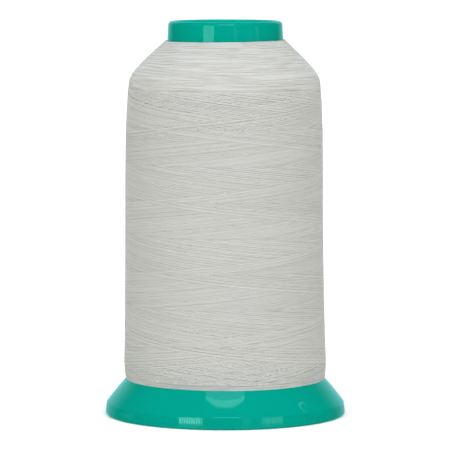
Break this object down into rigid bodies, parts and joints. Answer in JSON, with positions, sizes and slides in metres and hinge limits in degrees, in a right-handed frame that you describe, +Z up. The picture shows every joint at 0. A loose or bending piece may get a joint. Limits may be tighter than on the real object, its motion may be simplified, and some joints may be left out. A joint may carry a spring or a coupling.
{
  "type": "cone of thread",
  "caption": "Off-white sewing thread, cross-wound with a sloped shoulder on a glossy green moulded spool with a flared base, upright rim, top collar and open bore.",
  "frame": {"origin": "centre of the spool's base, on the surface that it stands on", "axes": "+Z up along the bore, -Y towards the viewer of the picture, +X to the right"},
  "size_m": [0.0764, 0.0764, 0.125],
  "materials": {
    "spool_plastic": "glossy moulded plastic, teal green, with a fine upright grain on the rim",
    "sewing_thread": "matt off-white sewing thread, cross-wound"
  },
  "bodies": {
    "root": {"spool": "spool_plastic", "thread_winding": "sewing_thread"}
  },
  "joints": []
}
